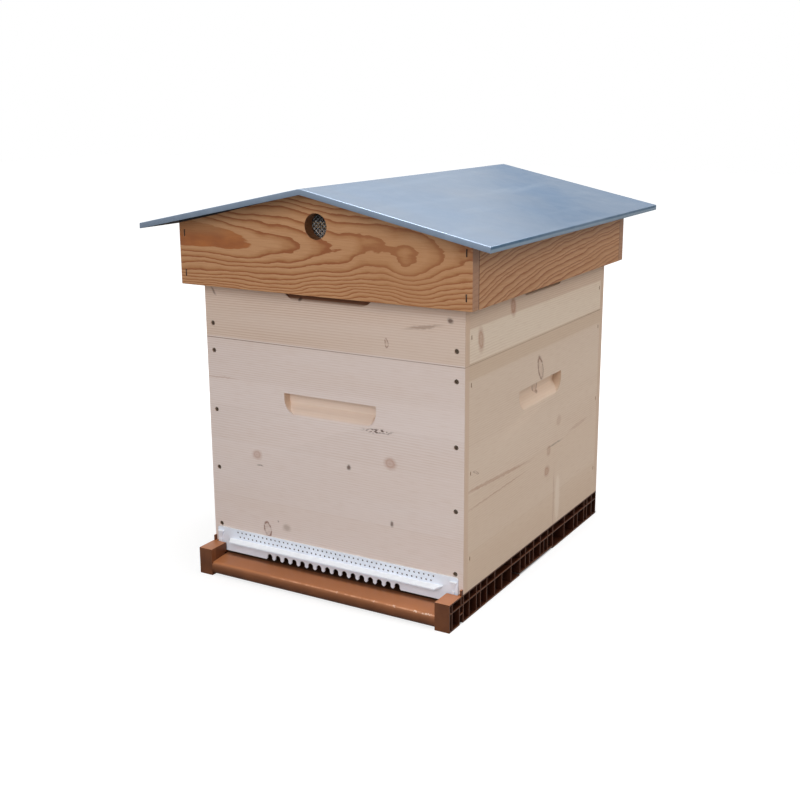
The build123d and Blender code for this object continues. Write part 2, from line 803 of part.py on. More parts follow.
with BuildPart() as front_vent_mesh:
    reach = int(vent_diameter // (2 * mesh_pitch))
    steps = [i * mesh_pitch for i in range(-reach, reach + 1)]
    opening = mesh_pitch - mesh_wire
    gaps = [(x, z) for x in steps for z in steps if hypot(x, z) + opening < vent_diameter / 2 + mesh_wire]
    with BuildSketch(Plane.XZ.offset(gable_inside)):
        with Locations((0, vent_z)):
            Circle(vent_diameter / 2 + mesh_margin)
            with Locations(*gaps):
                Rectangle(opening, opening, mode=Mode.SUBTRACT)
    extrude(amount=-mesh_thickness)
save(front_vent_mesh.part, "roof_front_vent_mesh")
save(mirrored(front_vent_mesh.part, Plane.XZ), "roof_back_vent_mesh")


def chevron(half_span, top, depth):
    """Corners of a band that follows both slopes of the roof, drawn across the hive."""
    eave = top - slope * half_span
    upper = [(-half_span, eave), (0, top), (half_span, eave)]
    return upper + [(x, z - depth) for x, z in reversed(upper)]


with BuildPart() as roof_sheet:
    sheet_half_width = roof_half_width + sheet_overhang_sides
    sheet_half_length = roof_half_length + sheet_overhang_ends
    with BuildSketch(Plane.XZ):
        with BuildLine():
            Polyline(*chevron(sheet_half_width, ridge_under + sheet_thickness, sheet_lip), close=True)
        make_face()
    extrude(amount=sheet_half_length, both=True)
    with BuildSketch(Plane.XZ):
        with BuildLine():
            Polyline(*chevron(sheet_half_width - sheet_thickness, ridge_under, sheet_lip), close=True)
        make_face()
    extrude(amount=sheet_half_length - sheet_thickness, both=True, mode=Mode.SUBTRACT)
save(roof_sheet.part, "roof_sheet")
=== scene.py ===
import math

import bmesh
import bpy
from mathutils import Matrix, Vector


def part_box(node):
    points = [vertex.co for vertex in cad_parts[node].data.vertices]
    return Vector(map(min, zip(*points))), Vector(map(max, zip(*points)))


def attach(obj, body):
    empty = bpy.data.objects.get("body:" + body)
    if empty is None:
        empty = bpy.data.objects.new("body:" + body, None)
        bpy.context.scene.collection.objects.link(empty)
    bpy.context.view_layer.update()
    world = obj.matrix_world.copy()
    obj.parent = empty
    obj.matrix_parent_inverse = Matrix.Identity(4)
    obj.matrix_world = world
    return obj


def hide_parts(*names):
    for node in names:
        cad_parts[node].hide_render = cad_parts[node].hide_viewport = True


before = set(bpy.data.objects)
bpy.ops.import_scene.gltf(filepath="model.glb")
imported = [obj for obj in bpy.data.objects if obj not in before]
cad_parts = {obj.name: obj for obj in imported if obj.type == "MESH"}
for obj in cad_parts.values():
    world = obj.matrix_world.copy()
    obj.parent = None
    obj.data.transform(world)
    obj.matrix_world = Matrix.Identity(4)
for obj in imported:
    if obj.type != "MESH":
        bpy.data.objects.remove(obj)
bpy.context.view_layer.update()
scene = bpy.context.scene
mm = 0.001


# Floor. One moulding of brown plastic: open ribbed cells down its sides, a slotted deck, two corner blocks
# that guide the door and a landing board with a rolled nose. Its skin is mottled and scuffed white along the
# nose. Faces that look up and the upper part of the nose's front carry painted light, a painted highlight
# with some wear runs along the nose's edge, and painted shade darkens the cells, the deck inside the door and
# the landing just in front of it. The boxes stand on it unfixed.
floor_edge = 0.35 * mm
weld_distance = 2e-6
flat_turn = 0.4
sharp_turn = 35.0
smooth_turn = 20.0
wide_area = 0.0015
# Painted light: the two top colours are the plastic as lit from above.
floor_painted_top_light = (184, 119, 77)
floor_painted_top_light_dull = (174, 111, 70)
floor_brown = (109, 63, 34)
floor_dark = (96, 54, 29)
cell_painted_shade = (55, 25, 12)
rib_edge = (76, 45, 30)
deck_painted_shade = (58, 34, 22)
scuff_white = (236, 212, 192)
edge_wear_and_highlight = (226, 170, 136)
floor_sheen = 0.38
side_face = 215 * mm
rear_face = 250 * mm
front_face = -290 * mm
cell_back = 22.5 * mm
box_seat = 41 * mm
nose_low = 7 * mm
nose_top = 21.5 * mm
door_line = -251 * mm
landing_half = 192 * mm
worn_from = -120 * mm
worn_to = -20 * mm
nose_scuffs = [(32, 1.4, 0.45), (94, 1.6, 0.4), (127, 3.2, 0.8), (161, 3.4, 0.85), (178, 11.0, 0.7)]


def linear(colour):
    """An 8-bit screen colour as the linear colour that a shader takes."""
    parts = [part / 255 for part in colour]
    return [part / 12.92 if part <= 0.04045 else ((part + 0.055) / 1.055) ** 2.4 for part in parts] + [1.0]


def feed(tree, node, inputs):
    """Gives inputs of a node, by name or number, another node's output or a constant."""
    for key, value in inputs.items():
        if isinstance(value, bpy.types.NodeSocket):
            tree.links.new(value, node.inputs[key])
        else:
            node.inputs[key].default_value = value


def add(tree, kind, inputs=None, **settings):
    """Adds a node with its settings and its inputs."""
    node = tree.nodes.new(kind)
    for name, value in settings.items():
        setattr(node, name, value)
    feed(tree, node, inputs or {})
    return node


def calc(tree, operation, *terms):
    """The result of one Math node."""
    return add(tree, "ShaderNodeMath", dict(enumerate(terms)), operation=operation).outputs[0]


def product(tree, *factors):
    """Any number of factors multiplied."""
    result = factors[0]
    for factor in factors[1:]:
        result = calc(tree, "MULTIPLY", result, factor)
    return result


def apart(tree, value, mark):
    """How far a value is from a mark."""
    return calc(tree, "ABSOLUTE", calc(tree, "SUBTRACT", value, mark))


def fade(tree, value, start, end, low=0.0, high=1.0):
    """A smooth step from low to high while the value goes from start to end."""
    ends = {0: value, 1: start, 2: end, 3: low, 4: high}
    return add(tree, "ShaderNodeMapRange", ends, interpolation_type="SMOOTHSTEP").outputs[0]


def noise(tree, place, scale, stretch=(1.0, 1.0, 1.0), detail=3.0, shift=(0.0, 0.0, 0.0)):
    """Noise about 0.5, on coordinates that are stretched along an axis."""
    spread = add(tree, "ShaderNodeMapping", {"Vector": place, "Scale": stretch, "Location": shift})
    settings = {"Vector": spread.outputs[0], "Scale": scale, "Detail": detail}
    return add(tree, "ShaderNodeTexNoise", settings).outputs["Fac"]


def tint(tree, factor, *colours):
    """One colour with a second laid over it by a factor; each is a screen colour or an output."""
    under, over = [linear(colour) if isinstance(colour, tuple) else colour for colour in colours]
    return add(tree, "ShaderNodeMix", {0: factor, 6: under, 7: over}, data_type="RGBA").outputs[2]


def axes(tree, vector):
    """The parts of a vector along x, y and z."""
    return add(tree, "ShaderNodeSeparateXYZ", {0: vector}).outputs


def facing_axes(tree):
    """The parts along x, y and z of the direction that a face looks in."""
    return axes(tree, tree.nodes["Texture Coordinate"].outputs["Normal"])


def finish(name):
    """A new material, its tree, its surface shader and the object coordinates."""
    material = bpy.data.materials.new(name)
    material.use_nodes = True
    tree = material.node_tree
    place = add(tree, "ShaderNodeTexCoord").outputs["Object"]
    return material, tree, tree.nodes["Principled BSDF"], place


def relief(tree, surface, height, depth, strength=1.0):
    """Gives the surface a fine relief of that depth."""
    bump = add(tree, "ShaderNodeBump", {"Height": height, "Distance": depth, "Strength": strength})
    feed(tree, surface, {"Normal": bump.outputs[0]})


def clean_mesh(node):
    """A CAD node's triangles as a mesh of its own, with the corners joined and the flat faces whole."""
    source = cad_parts[node].data
    mesh = bpy.data.meshes.new(node)
    mesh.from_pydata([v.co for v in source.vertices], [], [list(p.vertices) for p in source.polygons])
    work = bmesh.new()
    work.from_mesh(mesh)
    bmesh.ops.remove_doubles(work, verts=work.verts, dist=weld_distance)
    bmesh.ops.dissolve_limit(work, angle_limit=math.radians(flat_turn), verts=work.verts, edges=work.edges)
    return mesh, work


def round_over(work, edges, radius, steps):
    """Rounds edges of a worked shape."""
    bmesh.ops.bevel(work, geom=edges, offset=radius, offset_type="OFFSET", segments=steps, profile=0.5,
                    affect="EDGES", clamp_overlap=True)


def keep_shape(mesh, work, smooth=smooth_turn):
    """Writes a worked shape into its mesh: wide faces flat, the others smooth over turns under the angle."""
    for face in work.faces:
        face.smooth = face.calc_area() < wide_area
    work.to_mesh(mesh)
    work.free()
    mesh.set_sharp_from_angle(angle=math.radians(smooth))


def put(name, data):
    """A new object in the scene."""
    piece = bpy.data.objects.new(name, data)
    scene.collection.objects.link(piece)
    return piece


def place_piece(name, mesh, material, body, node):
    """Puts a finished mesh on its body, in the stead of a CAD node."""
    mesh.materials.clear()
    mesh.materials.append(material)
    piece = put(name, mesh)
    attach(piece, body)
    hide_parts(node)


def eased(node, edge, material, body):
    """Stands for a CAD node with a copy whose sharp edges are rounded."""
    mesh, work = clean_mesh(node)
    limit = math.radians(sharp_turn)
    sharp = [line for line in work.edges if line.is_manifold and line.calc_face_angle() > limit]
    round_over(work, sharp, edge, 2)
    keep_shape(mesh, work)
    place_piece(node + "_finished", mesh, material, body, node)


floor_plastic, tree, surface, place = finish("brown_plastic")
where = axes(tree, place)
facing = facing_axes(tree)
mottle = noise(tree, place, 38.0, detail=5.0)
grime = noise(tree, place, 9.0, detail=4.0)
upright = tint(tree, fade(tree, mottle, 0.35, 0.7), floor_dark, floor_brown)
painted_top_colour = tint(tree, fade(tree, grime, 0.35, 0.7), floor_painted_top_light_dull, floor_painted_top_light)
aside = calc(tree, "ABSOLUTE", where[0])
between = fade(tree, aside, landing_half + 0.3 * mm, landing_half - 0.3 * mm)
# Painted light: the upper part of the nose's front, and faces that look up, take the top colour.
painted_nose_light = product(tree, between, fade(tree, where[1], front_face + 12 * mm, front_face + 8 * mm),
                 fade(tree, where[2], nose_low, nose_top, 0.0, 0.48))
light = calc(tree, "MAXIMUM", painted_nose_light, fade(tree, facing[2], 0.1, 0.95))
colour = tint(tree, light, upright, painted_top_colour)
# Painted shade on the deck inside the door, and on the landing just in front of the door.
painted_shade_indoors = product(tree, between, fade(tree, where[1], door_line - 2 * mm, door_line + 2 * mm))
colour = tint(tree, painted_shade_indoors, colour, deck_painted_shade)
painted_shade_at_door = product(tree, between, fade(tree, where[1], door_line - 11 * mm, door_line - 4 * mm, 0.0, 0.65),
                  fade(tree, facing[2], 0.5, 0.9))
colour = tint(tree, painted_shade_at_door, colour, deck_painted_shade)
outward = product(tree, facing[0], calc(tree, "SIGN", where[0]))
side_depth = calc(tree, "SUBTRACT", side_face, aside)
rear_depth = calc(tree, "SUBTRACT", rear_face, where[1])
# Painted shade deep in the open cells of the sides and the back.
painted_cell_shade = 0.0
for depth, away in ((side_depth, outward), (rear_depth, facing[1])):
    inside = product(tree, fade(tree, depth, 0.0, 0.9 * mm, 0.35, 1.0),
                     fade(tree, depth, cell_back + 1.5 * mm, cell_back + 0.5 * mm),
                     fade(tree, away, -0.7, -0.4))
    painted_cell_shade = calc(tree, "MAXIMUM", painted_cell_shade, inside)
painted_cell_shade = product(tree, painted_cell_shade, fade(tree, where[1], front_face + 0.5 * mm, front_face + 1.5 * mm),
                   fade(tree, where[2], box_seat - 0.5 * mm, box_seat - 1.2 * mm))
colour = tint(tree, painted_cell_shade, colour, cell_painted_shade)
flanks = product(tree, fade(tree, side_depth, 1.0 * mm, 0.4 * mm), fade(tree, outward, 0.2, 0.7, 0.0, 0.8))
colour = tint(tree, flanks, colour, rib_edge)
fleck = noise(tree, place, 420.0, detail=4.0)
on_edge = product(tree, fade(tree, facing[1], -0.35, -0.5), fade(tree, facing[2], 0.5, 0.65),
                  fade(tree, where[2], box_seat / 2 + 3 * mm, box_seat / 2 + 2 * mm))
rubbed = noise(tree, place, 60.0, (1.0, 0.0, 0.0), 4.0)
# Partly wear, partly a painted highlight: a light line along the nose's edge.
wear_and_painted_highlight = product(tree, fade(tree, facing[2], 0.60, 0.68), fade(tree, facing[2], 0.90, 0.82), on_edge,
               fade(tree, rubbed, 0.4, 0.6, 0.1, 0.6), fade(tree, where[0], worn_from, worn_to))
colour = tint(tree, wear_and_painted_highlight, colour, edge_wear_and_highlight)
for spot, half, strength in nose_scuffs:
    near = fade(tree, apart(tree, where[0], spot * mm), half * mm, 0.4 * half * mm)
    scuff = product(tree, near, fade(tree, fleck, 0.46, 0.56, 0.0, strength), on_edge)
    colour = tint(tree, scuff, colour, scuff_white)
feed(tree, surface, {"Base Color": colour, "Roughness": fade(tree, mottle, 0.3, 0.75, 0.33, 0.45),
                     "Specular IOR Level": floor_sheen})
relief(tree, surface, noise(tree, place, 420.0), 0.08 * mm)
eased("floor_base", floor_edge, floor_plastic, "floor")


# Entrance door. One moulding of white plastic with a row of round-topped arches for the bees, two rows of
# small ventilation holes, a visor, finger tabs and guide ribs. It is pushed down into a slot of the floor by
# hand. Its skin is smooth with a few specks; faces that look up carry painted light, and the walls of the
# holes carry painted shade.
door_edge = 0.25 * mm
door_white = (239, 244, 255)
door_shade = (225, 230, 241)
door_painted_top_light = (250, 252, 255)
door_speck = (176, 168, 160)
hole_shade = (100, 102, 112)
plate_face = -252.4 * mm
hole_rows = (51.5 * mm, 62.5 * mm)
hole_reach = 172 * mm

door_plastic, tree, surface, place = finish("white_plastic")
where = axes(tree, place)
facing = facing_axes(tree)
cloud = noise(tree, place, 24.0, detail=4.0)
speck = noise(tree, place, 600.0, detail=2.0)
colour = tint(tree, fade(tree, cloud, 0.3, 0.75), door_white, door_shade)
colour = tint(tree, fade(tree, speck, 0.70, 0.78, 0.0, 0.35), colour, door_speck)
# Painted light on faces that look up.
colour = tint(tree, fade(tree, facing[2], 0.2, 0.6), colour, door_painted_top_light)
# Painted shade on the walls of the ventilation holes.
painted_hole_shade = product(tree, fade(tree, where[1], plate_face - 0.1 * mm, plate_face + 0.1 * mm),
                fade(tree, calc(tree, "ABSOLUTE", facing[1]), 0.6, 0.3),
                fade(tree, where[2], hole_rows[0] - 0.3 * mm, hole_rows[0]),
                fade(tree, where[2], hole_rows[1] + 0.3 * mm, hole_rows[1]),
                fade(tree, calc(tree, "ABSOLUTE", where[0]), hole_reach + 1 * mm, hole_reach))
colour = tint(tree, painted_hole_shade, colour, hole_shade)
feed(tree, surface, {"Base Color": colour, "Roughness": fade(tree, cloud, 0.3, 0.7, 0.36, 0.5)})
relief(tree, surface, noise(tree, place, 500.0, detail=2.0), 0.03 * mm)
eased("entrance_door", door_edge, door_plastic, "door")


# Box walls. Each wall of the brood box and of the honey super is a planed spruce board, 25 mm thick, glued up
# from staves of differing tint. It is halved over the next one at the corners, glued, screwed and bradded. A
# finger pocket is routed in each, so its inside shows freshly cut wood, and end grain shows at the corners.
wall_edge = 0.5 * mm
ring_pitch = 3.5 * mm
stave_span = 0.6
end_face = 250 * mm
flank_face = 215 * mm
box_joint = 361 * mm
super_pocket = (428 * mm, 462 * mm)
pocket_half = 77.5 * mm
spruce_ring = (190, 156, 132)
spruce_end = (206, 174, 145)
spruce_cut = (225, 198, 174)
spruce_seam = (176, 146, 122)
joint_painted_shade = (128, 94, 74)
pocket_painted_shade = (132, 80, 50)
knot_red = (160, 104, 74)
knot_brown = (128, 84, 64)
knot_dark = (84, 58, 46)
knot_grey = (142, 115, 98)
wood_pale = (232, 214, 196)
front_staves = [(0, (225, 210, 204), 0.25), (118, (226, 212, 207), 0.2), (205, (224, 209, 203), 0.3),
                (258, (226, 211, 205), 0.25), (301, (224, 209, 203), 0.35), (361, (217, 197, 183), 0.8),
                (428, (213, 190, 174), 0.7)]
side_staves = [(0, (216, 192, 169), 0.3), (96, (218, 195, 173), 0.3), (177, (220, 198, 177), 0.4),
               (250, (219, 197, 176), 0.3), (338, (211, 186, 161), 0.5), (363, (230, 211, 189), 0.3),
               (409, (211, 187, 164), 0.7)]
front_knots = [(193, 422, 4, 3.6, 0, 0.85, "core"), (152, 409.5, 22, 2.2, 10, 0.6, "stain"),
               (95, 382, 2.4, 6, 12, 1.0, "ring"), (-199, 430, 7, 1.7, -55, 0.6, "core"),
               (-46, 430, 2.6, 2.6, 0, 0.8, "core"), (100, 212, 8, 7, 0, 0.55, "soft"),
               (-130, 190, 7, 6, 0, 0.5, "soft"), (-125, 174, 5, 0.9, 4, 0.8, "core"),
               (31, 196, 3.2, 3.2, 0, 0.9, "core"), (101.7, 123, 2.6, 4, 10, 0.85, "core"),
               (-114.6, 75.3, 6, 11, 8, 0.95, "ring"), (-80, 84, 6, 5, 0, 0.5, "stain"),
               (-95, 91, 1.6, 1.4, 0, 0.6, "core"), (71, 269, 3.5, 4.5, -20, 0.5, "soft"),
               (80, 255.5, 20, 3.0, 2, 1.0, "specks"), (-192, 301, 25, 0.9, 0, 0.4, "soft")]
right_knots = [(-104, 421, 7, 12, 14, 0.75, "soft"), (-204, 391, 7, 14, 10, 0.65, "soft"),
               (-3, 311, 8, 18, 22, 0.85, "ring"), (7, 280, 8, 9, 0, 0.75, "ring"),
               (74, 211, 7, 7, 0, 0.3, "soft"), (60, 176, 26, 1.3, 0, 0.45, "core"),
               (36, 171, 6, 7, 0, 0.45, "soft"), (31, 139, 8, 7, 0, 0.6, "soft"),
               (156, 184, 30, 2.5, 3, 0.3, "soft"), (-150, 181, 90, 2.2, -3, 0.5, "soft"),
               (-150, 160, 80, 1.0, 1, 0.45, "soft"), (-215, 208, 9, 1.6, -25, 0.8, "ring"),
               (76, 82, 10, 40, 0, 0.6, "pale"), (60, 84, 2.2, 40, 0, 0.3, "soft")]
back_knots = [(-150, 402, 8, 5, 0, 0.6, "soft"), (60, 330, 6, 10, 0, 0.6, "ring"),
              (-40, 230, 9, 7, 12, 0.6, "soft"), (140, 150, 5, 5, 0, 0.7, "core"),
              (-120, 110, 2.6, 2.6, 0, 0.8, "core"), (20, 90, 14, 4, 0, 0.3, "soft")]
left_knots = [(120, 420, 6, 11, -10, 0.6, "soft"), (-60, 350, 7, 12, 15, 0.7, "ring"),
              (190, 250, 6, 5, 0, 0.5, "soft"), (-150, 170, 10, 8, 0, 0.5, "soft"),
              (40, 120, 4, 5, 8, 0.8, "core")]
ring_line = [(0.0, 0.0), (0.45, 0.12), (0.82, 1.0), (0.93, 0.7), (1.0, 0.0)]
knot_forms = {"core": (knot_dark, [(0.0, 1.0), (0.4, 0.9), (0.62, 0.35), (0.9, 0.0)]),
              "ring": (knot_brown, [(0.0, 0.25), (0.44, 0.2), (0.54, 1.0), (0.64, 0.9), (0.76, 0.0)]),
              "soft": (knot_red, [(0.0, 0.9), (0.25, 0.65), (0.45, 1.0), (0.62, 0.5), (0.95, 0.0)]),
              "stain": (knot_grey, [(0.0, 1.0), (0.45, 0.85), (0.65, 0.4), (0.95, 0.0)]),
              "specks": (knot_dark, [(0.0, 1.0), (0.4, 0.9), (0.62, 0.35), (0.9, 0.0)]),
              "pale": (wood_pale, [(0.0, 1.0), (0.5, 0.8), (0.62, 0.1), (0.9, 0.0)])}


def ramp(tree, value, stops, steps="LINEAR"):
    """A colour ramp through (position, screen colour or grey level) stops."""
    node = add(tree, "ShaderNodeValToRGB", {0: value})
    band = node.color_ramp
    band.interpolation = steps
    while len(band.elements) < len(stops):
        band.elements.new(0.5)
    for element, (position, colour) in zip(band.elements, stops):
        element.position = position
        element.color = linear(colour) if isinstance(colour, tuple) else (colour, colour, colour, 1.0)
    return node.outputs[0]


def stretched(along, amount):
    """The scale of a noise that is drawn out along one axis."""
    scale = [1.0, 1.0, 1.0]
    scale[along] = amount
    return scale


def swing(tree, *settings, **more):
    """Noise about zero."""
    return calc(tree, "SUBTRACT", noise(tree, *settings, **more), 0.5)


def vector(tree, x=0.0, y=0.0, z=0.0):
    """A vector made of its parts."""
    return add(tree, "ShaderNodeCombineXYZ", {0: x, 1: y, 2: z}).outputs[0]


def length(tree, of):
    """The length of a vector."""
    return add(tree, "ShaderNodeVectorMath", {0: of}, operation="LENGTH").outputs["Value"]


def spruce(name, along, across, staves, knots, face, phase):
    """Planed spruce whose grain runs along one axis; across is the axis through its thickness."""
    material, tree, surface, place = finish(name)
    where = axes(tree, place)
    run = where[along]
    rise = where[2]
    slow = stretched(along, 0.12)
    shift = (phase, phase, phase)
    share = calc(tree, "DIVIDE", rise, stave_span)
    colour = ramp(tree, share, [(foot * mm / stave_span, shade) for foot, shade, lines in staves], "CONSTANT")
    grain = ramp(tree, share, [(foot * mm / stave_span, lines) for foot, shade, lines in staves], "CONSTANT")
    bow = swing(tree, place, 9.0, slow, 2.0, shift)
    count = calc(tree, "MULTIPLY_ADD", bow, 7.0, calc(tree, "DIVIDE", rise, ring_pitch))
    count = calc(tree, "MULTIPLY_ADD", grain, 0.63, count)
    patches = noise(tree, place, 26.0, slow, 2.0, shift)
    rings = product(tree, ramp(tree, calc(tree, "FRACT", count), ring_line), grain,
                    fade(tree, patches, 0.3, 0.7, 0.35, 1.0))
    fibre = noise(tree, place, 1000.0, stretched(along, 0.04), 3.0, shift)
    cloud = noise(tree, place, 9.0, slow, 3.0, shift)
    colour = tint(tree, fade(tree, cloud, 0.35, 0.75, 0.0, 0.22), colour, spruce_end)
    colour = tint(tree, rings, colour, spruce_ring)
    colour = tint(tree, fade(tree, fibre, 0.45, 0.75, 0.0, 0.2), colour, spruce_ring)
    for foot, shade, lines in staves[1:]:
        seam = fade(tree, apart(tree, rise, foot * mm), 0.5 * mm, 0.2 * mm, 0.0, 0.12)
        colour = tint(tree, seam, colour, spruce_seam)
    depth = calc(tree, "SUBTRACT", face, calc(tree, "ABSOLUTE", where[across]))
    colour = tint(tree, fade(tree, depth, 0.6 * mm, 4 * mm, 0.0, 0.6), colour, spruce_cut)
    # Painted shade in the gap where the super meets the brood box.
    painted_joint_shade = product(tree, fade(tree, apart(tree, rise, box_joint), 0.8 * mm, 0.3 * mm),
                     fade(tree, cloud, 0.35, 0.65, 0.3, 0.9))
    colour = tint(tree, painted_joint_shade, colour, joint_painted_shade)
    # Painted shade in the super's finger pockets, under the roof.
    painted_pocket_shade = product(tree, fade(tree, depth, 0.8 * mm, 3 * mm), fade(tree, depth, 18 * mm, 16 * mm),
                      fade(tree, rise, super_pocket[0] - 4 * mm, super_pocket[0]),
                      fade(tree, rise, super_pocket[1] + 4 * mm, super_pocket[1]),
                      fade(tree, calc(tree, "ABSOLUTE", run), pocket_half + 4 * mm, pocket_half, 0.0, 0.9))
    colour = tint(tree, painted_pocket_shade, colour, pocket_painted_shade)
    wander = swing(tree, place, 110.0, detail=5.0)
    stray = swing(tree, place, 110.0, detail=5.0, shift=(3.1, 1.7, 5.3))
    plan = vector(tree, calc(tree, "MULTIPLY_ADD", wander, 5 * mm, run),
                  calc(tree, "MULTIPLY_ADD", stray, 5 * mm, rise))
    broken = {"ring": fade(tree, noise(tree, place, 140.0), 0.36, 0.56, 0.3, 1.0),
              "specks": fade(tree, noise(tree, place, 420.0, stretched(along, 0.45), 2.0), 0.47, 0.55)}
    for knot_run, knot_rise, wide, high, tilt, strength, form in knots:
        place_and_size = {"Vector": plan, "Location": (knot_run * mm, knot_rise * mm, 0),
                          "Rotation": (0, 0, math.radians(tilt)), "Scale": (wide * mm, high * mm, 1)}
        spot = add(tree, "ShaderNodeMapping", place_and_size, vector_type="TEXTURE").outputs[0]
        shade, stops = knot_forms[form]
        far = calc(tree, "MULTIPLY", length(tree, spot), 0.6)
        dark = product(tree, ramp(tree, far, stops), strength, broken.get(form, 1.0))
        colour = tint(tree, dark, colour, shade)
    slant = calc(tree, "MULTIPLY_ADD", where[across], 1.7, rise)
    arcs = calc(tree, "DIVIDE", calc(tree, "MULTIPLY_ADD", bow, 12 * mm, slant), ring_pitch)
    arcs = fade(tree, calc(tree, "FRACT", arcs), 0.3, 0.95, 0.0, 0.5)
    end = fade(tree, calc(tree, "ABSOLUTE", facing_axes(tree)[along]), 0.6, 0.9, 0.0, 0.65)
    colour = tint(tree, end, colour, tint(tree, arcs, spruce_end, spruce_seam))
    feed(tree, surface, {"Base Color": colour, "Roughness": fade(tree, fibre, 0.3, 0.8, 0.5, 0.66)})
    relief(tree, surface, fibre, 0.08 * mm)
    return material


wall_woods = {"front": spruce("spruce_front", 0, 1, front_staves, front_knots, end_face, 0.0),
              "back": spruce("spruce_back", 0, 1, front_staves, back_knots, end_face, 3.7),
              "left": spruce("spruce_left", 1, 0, side_staves, left_knots, flank_face, 8.1),
              "right": spruce("spruce_right", 1, 0, side_staves, right_knots, flank_face, 5.3)}
for box in ("brood", "super"):
    for side, wood in wall_woods.items():
        eased(f"{box}_{side}_wall", wall_edge, wood, f"{box}_box")


# Corner screws. Zinc-plated countersunk screws with a star recess, driven through the front and back boards
# into the ends of the side boards, two rows to a board, and sunk a little below the face.
screw_finish = (122, 110, 98)
screw_rust = (88, 70, 56)
screw_sizes = {"Head radius": 3.4 * mm, "Head height": 2.4 * mm, "Head sides": 32, "Recess points": 6,
               "Recess inner": 1.25 * mm, "Recess outer": 1.9 * mm, "Recess depth": 1.4 * mm,
               "Shank radius": 1.9 * mm, "Shank length": 40.0 * mm, "Shank sides": 12, "Face": 248.5 * mm,
               "Half spacing": 202.5 * mm, "Most spin": 1.0, "Spin seed": 7}
screw_rows = {"brood": (69.0, 90.667, 4), "super": (382.0, 128.0, 2)}


def steel(name, bright, stained, grain, metallic, roughness, stains=(0.35, 0.7)):
    """Stained steel: noise of that grain sets the stain and the roughness."""
    material, tree, surface, place = finish(name)
    stain = noise(tree, place, grain)
    feed(tree, surface, {"Base Color": tint(tree, fade(tree, stain, *stains), bright, stained),
                         "Metallic": metallic, "Roughness": fade(tree, stain, 0.3, 0.7, *roughness)})
    return material


def sized_tree(name, sizes):
    """A geometry tree with one named input for each size, and the outputs that give those sizes."""
    tree = bpy.data.node_groups.new(name, "GeometryNodeTree")
    tree.interface.new_socket("Geometry", in_out="OUTPUT", socket_type="NodeSocketGeometry")
    for label, value in sizes.items():
        kind = "NodeSocketInt" if isinstance(value, int) else "NodeSocketFloat"
        tree.interface.new_socket(label, in_out="INPUT", socket_type=kind)
    return tree, add(tree, "NodeGroupInput").outputs


def shape(tree, kind, inputs=None):
    """What one geometry node gives."""
    return add(tree, "GeometryNode" + kind, inputs).outputs[0]


def swept(tree, path, section):
    """A section carried along a path, with closed ends."""
    return shape(tree, "CurveToMesh", {"Curve": path, "Profile Curve": section, "Fill Caps": True})


def joined(tree, parts):
    """Several parts as one geometry."""
    join = add(tree, "GeometryNodeJoinGeometry")
    for part in parts:
        tree.links.new(part, join.inputs[0])
    return join.outputs[0]


def corner_rows(tree, size, depth, fastener, tilt=0.0, spin=0.0):
    """A row of fasteners up each front corner, at that depth, and the same two rows turned to the back."""
    rows = []
    for sign in (-1.0, 1.0):
        start = vector(tree, calc(tree, "MULTIPLY", size["Half spacing"], sign), depth, size["Lowest"])
        points = shape(tree, "MeshLine", {"Count": size["Count"], "Start Location": start,
                                          "Offset": vector(tree, z=size["Step"])})
        row = shape(tree, "InstanceOnPoints",
                    {"Points": points, "Instance": fastener, "Rotation": (tilt, 0, 0)})
        row = shape(tree, "RotateInstances", {"Instances": row, "Rotation": vector(tree, z=spin)})
        rows.append(row)
        rows.append(shape(tree, "Transform", {"Geometry": row, "Rotation": (0, 0, math.pi)}))
    return rows


def close_tree(tree, parts, material):
    """Ends a geometry tree: its parts joined, made real and given their material."""
    real = shape(tree, "RealizeInstances", {0: joined(tree, parts)})
    done = shape(tree, "SetMaterial", {"Geometry": real, "Material": material})
    add(tree, "NodeGroupOutput", {0: done})


def grown(name, tree, sizes):
    """The mesh that a geometry tree makes with these sizes."""
    seed = put(name + "_seed", bpy.data.meshes.new(name + "_seed"))
    modifier = seed.modifiers.new("grow", "NODES")
    modifier.node_group = tree
    for item in tree.interface.items_tree:
        if item.in_out == "INPUT":
            modifier[item.identifier] = sizes[item.name]
    graph = bpy.context.evaluated_depsgraph_get()
    mesh = bpy.data.meshes.new_from_object(seed.evaluated_get(graph))
    mesh.name = name
    bpy.data.objects.remove(seed)
    return mesh


screw_steel = steel("screw_steel", screw_finish, screw_rust, 900.0, 0.8, (0.35, 0.6), (0.4, 0.65))

